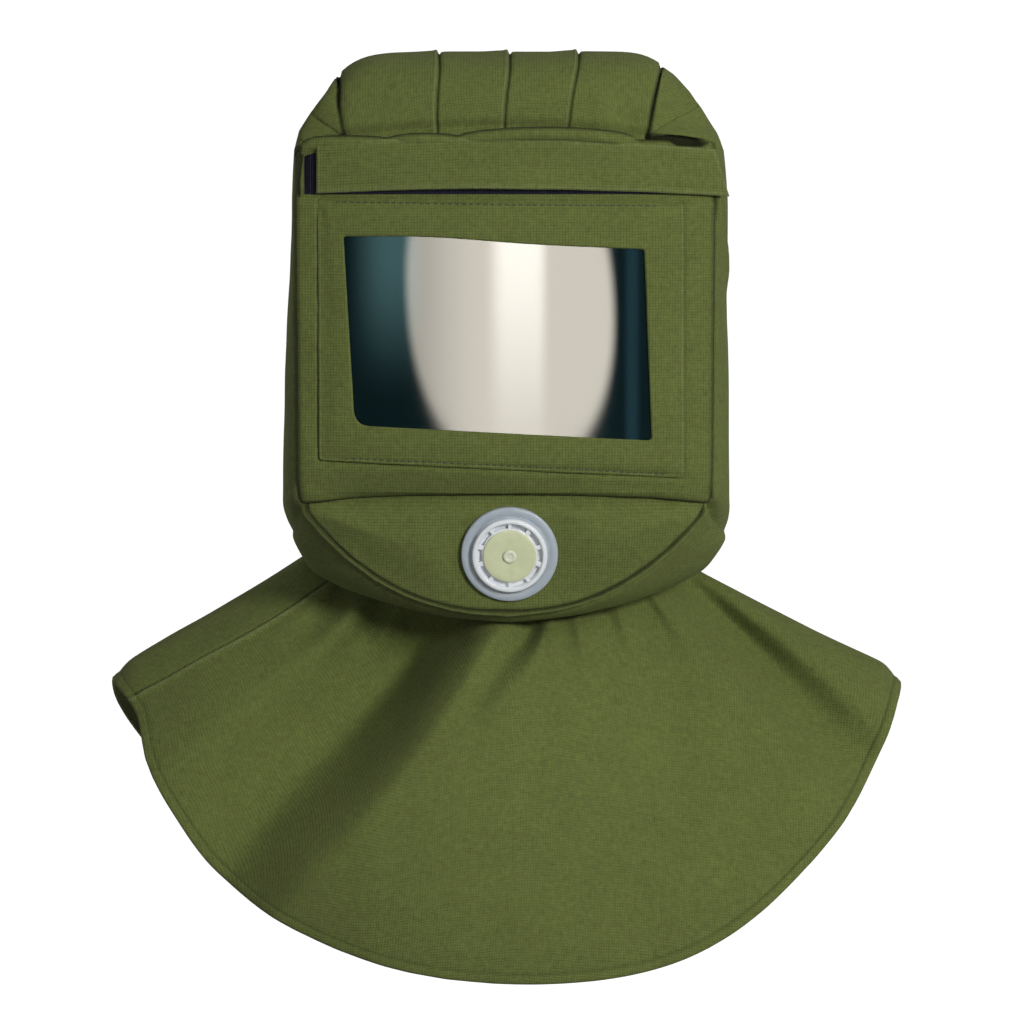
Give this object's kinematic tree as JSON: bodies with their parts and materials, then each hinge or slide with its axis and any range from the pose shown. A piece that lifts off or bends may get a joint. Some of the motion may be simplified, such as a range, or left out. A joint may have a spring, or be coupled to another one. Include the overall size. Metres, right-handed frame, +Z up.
{
  "type": "dust hood",
  "caption": "Green canvas dust hood with a tinted window in a sewn pocket, an exhale valve in the chin and a cape over the shoulders.",
  "frame": {"origin": "under the top of the crown, on the centre line, where the hood sits on the head", "axes": "+Z up, +X to the right as seen from the front, -Y the way the face looks"},
  "size_m": [0.4752, 0.2934, 0.5533],
  "materials": {
    "canvas": "matt plain-weave cotton canvas, olive green",
    "lens": "clear gloss, tinted dark teal",
    "hook_tape": "dark hook tape",
    "valve_flange": "soft translucent grey",
    "valve_cage": "satin white moulding",
    "valve_membrane": "satin pale yellow silicone",
    "valve_stud": "satin pale yellow moulding"
  },
  "bodies": {
    "root": {"crown": "canvas", "side_left": "canvas", "side_right": "canvas", "front_panel": "canvas", "window_patch": "canvas", "pocket_flap": "canvas", "chin_panel": "canvas", "cape_front": "canvas", "cape_back": "canvas", "lens": "lens", "hook_tape": "hook_tape", "valve_flange": "valve_flange", "valve_cage": "valve_cage", "valve_membrane": "valve_membrane", "valve_stud": "valve_stud"}
  },
  "joints": []
}
